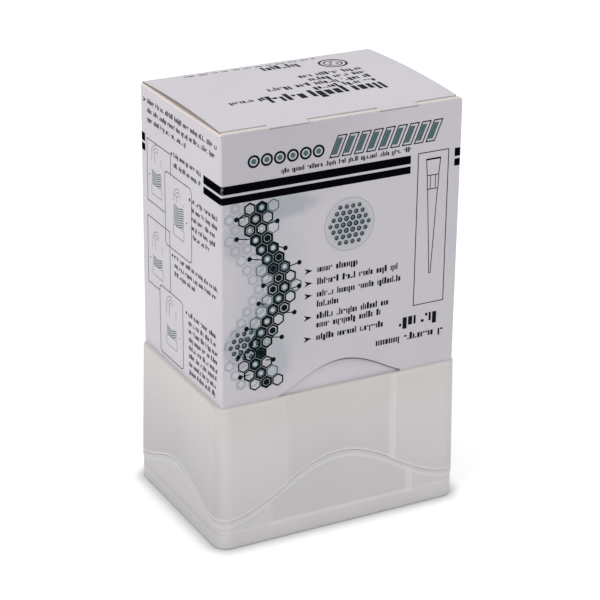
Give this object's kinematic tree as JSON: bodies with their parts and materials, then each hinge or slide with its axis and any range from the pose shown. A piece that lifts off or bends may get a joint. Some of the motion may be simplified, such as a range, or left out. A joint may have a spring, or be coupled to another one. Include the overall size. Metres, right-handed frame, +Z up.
{
  "type": "box of pipette tips",
  "caption": "Translucent lidded rack box of pipette tips, with a paperboard sleeve of stacked refill tips standing on its lid.",
  "frame": {"origin": "centre of the box's footprint on the surface that it stands on", "axes": "+Z up, the wide front faces -Y, +X to the right seen from the front"},
  "size_m": [0.1268, 0.0898, 0.201],
  "materials": {
    "box_plastic": "milky translucent polypropylene, fine satin",
    "rack_plastic": "satin polypropylene",
    "tip_plastic": "clear natural polypropylene",
    "plain_board": "unprinted folding board",
    "printed_board": "coated folding board, matt"
  },
  "bodies": {
    "rack": {"box_base": "box_plastic", "rack_plate": "rack_plastic", "rack_tips": "tip_plastic"},
    "lid": {"box_lid": "box_plastic", "inner_tray": "plain_board", "refill_plate_1": "rack_plastic", "refill_plate_2": "rack_plastic", "refill_plate_3": "rack_plastic", "refill_plate_4": "rack_plastic", "refill_plate_5": "rack_plastic", "refill_tips_1": "tip_plastic", "refill_tips_2": "tip_plastic", "refill_tips_3": "tip_plastic", "refill_tips_4": "tip_plastic", "refill_tips_5": "tip_plastic"},
    "sleeve": {"carton_sleeve": "printed_board"},
    "lid_panel": {"top_flap": "printed_board"}
  },
  "joints": [
    {"name": "lid_lift", "type": "slide", "parent": "rack", "child": "lid", "axis": [0, 0, 1], "range_m": [0, 0.07]},
    {"name": "sleeve_lift", "type": "slide", "parent": "lid", "child": "sleeve", "axis": [0, 0, 1], "range_m": [0, 0.13]},
    {"name": "lid_panel_fold", "type": "hinge", "parent": "sleeve", "child": "lid_panel", "pos_m": [0, 0.042, 0.1996], "axis": [-1, 0, 0], "range_deg": [0, 180]}
  ]
}
